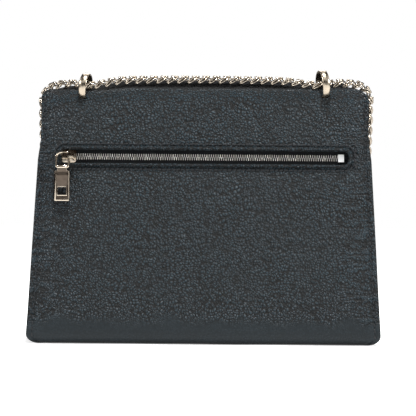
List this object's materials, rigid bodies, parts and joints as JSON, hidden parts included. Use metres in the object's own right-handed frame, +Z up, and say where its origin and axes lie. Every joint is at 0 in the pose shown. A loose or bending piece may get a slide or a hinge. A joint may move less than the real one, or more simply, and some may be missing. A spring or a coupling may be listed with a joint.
{
  "type": "leather shoulder bag",
  "caption": "Small pebbled leather flap bag with a sliding metal chain strap, a zip pocket across its back and a turn lock under its flap",
  "frame": {"origin": "middle of the base, on the surface that the bag stands on", "axes": "+Z up, +Y out of the front that the flap covers, -Y out of the back with the zip, +X to the right as seen from the back"},
  "size_m": [0.2336, 0.113, 0.1743],
  "materials": {
    "leather": "pebbled calf, dark blue grey, with painted edges",
    "lining": "dark microfibre, matt",
    "board": "grey stiffener board",
    "tape": "black woven zip tape",
    "nickel": "polished pale nickel plate",
    "chain": "polished pale nickel twisted curb chain"
  },
  "bodies": {
    "root": {"back_panel": "leather", "bottom_panel": "leather", "front_panel": "leather", "gusset_left": "leather", "gusset_right": "leather", "zip_frame": "leather", "top_facing": "leather", "base_board": "board", "loop_patch_left": "board", "loop_patch_right": "board", "lining_back": "lining", "lining_front": "lining", "lining_base": "lining", "slip_pocket": "lining", "zip_pocket_lining": "lining", "zip_tape_upper": "tape", "zip_tape_lower": "tape", "zip_teeth_upper": "nickel", "zip_teeth_lower": "nickel", "zip_top_stop_upper": "nickel", "zip_top_stop_lower": "nickel", "zip_bottom_stop": "nickel", "lock_base": "nickel", "lock_backing": "nickel", "strap_left": "chain", "strap_front": "chain", "strap_right": "chain", "strap_top": "chain"},
    "flap_top": {"flap_top": "leather", "flap_top_lining": "lining"},
    "flap_front": {"flap_front": "leather", "flap_front_lining": "lining", "lock_escutcheon": "nickel"},
    "lock_toggle": {"lock_toggle": "nickel"},
    "zip_slider": {"zip_slider": "nickel"},
    "pull_bail": {"pull_bail": "nickel"},
    "pull_tab": {"pull_tab": "nickel"},
    "strap_loop_left": {"strap_loop_left": "nickel"},
    "strap_loop_right": {"strap_loop_right": "nickel"}
  },
  "joints": [
    {"name": "flap_hinge", "type": "hinge", "parent": "root", "child": "flap_top", "pos_m": [0, -0.00097, 0.165], "axis": [1, 0, 0], "range_deg": [0, 100]},
    {"name": "flap_fold", "type": "hinge", "parent": "flap_top", "child": "flap_front", "pos_m": [0, 0.01229, 0.16192], "axis": [1, 0, 0], "range_deg": [0, 80]},
    {"name": "lock_turn", "type": "hinge", "parent": "root", "child": "lock_toggle", "pos_m": [0, 0.0206, 0.066], "axis": [0, 0.9946, 0.104], "range_deg": [0, 90]},
    {"name": "zip_slide", "type": "slide", "parent": "root", "child": "zip_slider", "axis": [1, 0, 0], "range_m": [0, 0.167]},
    {"name": "bail_swing", "type": "hinge", "parent": "zip_slider", "child": "pull_bail", "pos_m": [-0.0868, -0.02157, 0.12286], "axis": [0, 0.0685, 0.9977], "range_deg": [0, 85]},
    {"name": "tab_swing", "type": "hinge", "parent": "pull_bail", "child": "pull_tab", "pos_m": [-0.0907, -0.02228, 0.11259], "axis": [-1, 0, 0], "range_deg": [0, 100]},
    {"name": "loop_lean_left", "type": "hinge", "parent": "root", "child": "strap_loop_left", "pos_m": [-0.07371, -0.01007, 0.1609], "axis": [0.2488, 0.8136, 0.5254], "range_deg": [-12, 12]},
    {"name": "loop_lean_right", "type": "hinge", "parent": "root", "child": "strap_loop_right", "pos_m": [0.07371, -0.01007, 0.1609], "axis": [-0.2488, 0.8136, 0.5254], "range_deg": [-12, 12]}
  ],
  "couplings": [
    {"joint": "flap_fold", "follows": "flap_hinge", "ratio": 0.8}
  ]
}
